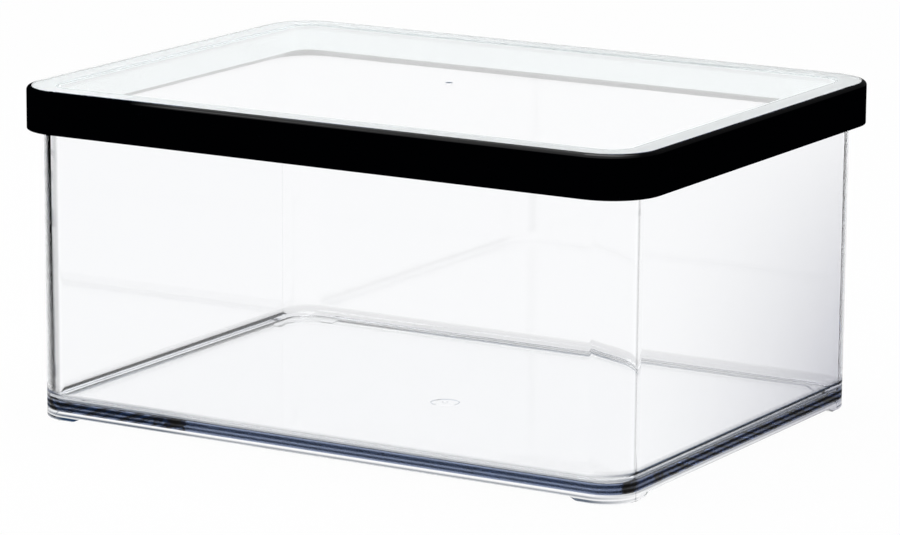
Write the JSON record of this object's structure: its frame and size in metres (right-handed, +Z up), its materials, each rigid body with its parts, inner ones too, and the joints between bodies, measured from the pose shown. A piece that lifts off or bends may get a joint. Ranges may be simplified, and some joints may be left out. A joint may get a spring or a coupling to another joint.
{
  "type": "storage box",
  "caption": "Rectangular clear plastic storage box with corner feet and a push-on lid with a black band and a translucent seal.",
  "frame": {"origin": "on the surface that the box stands on, under the middle of the box", "axes": "+X along the long side, +Y along the short side, +Z up through the lid"},
  "size_m": [0.2, 0.15, 0.0953],
  "materials": {
    "clear_plastic": "clear, glossy, very slightly blue",
    "black_plastic": "opaque black, smooth semi-gloss",
    "seal_rubber": "translucent white, satin"
  },
  "bodies": {
    "box": {"box": "clear_plastic"},
    "lid": {"lid_panel": "clear_plastic", "lid_band": "black_plastic", "lid_seal": "seal_rubber"}
  },
  "joints": [
    {"name": "lid_lift", "type": "slide", "parent": "box", "child": "lid", "axis": [0, 0, 1], "range_m": [0, 0.06]}
  ]
}
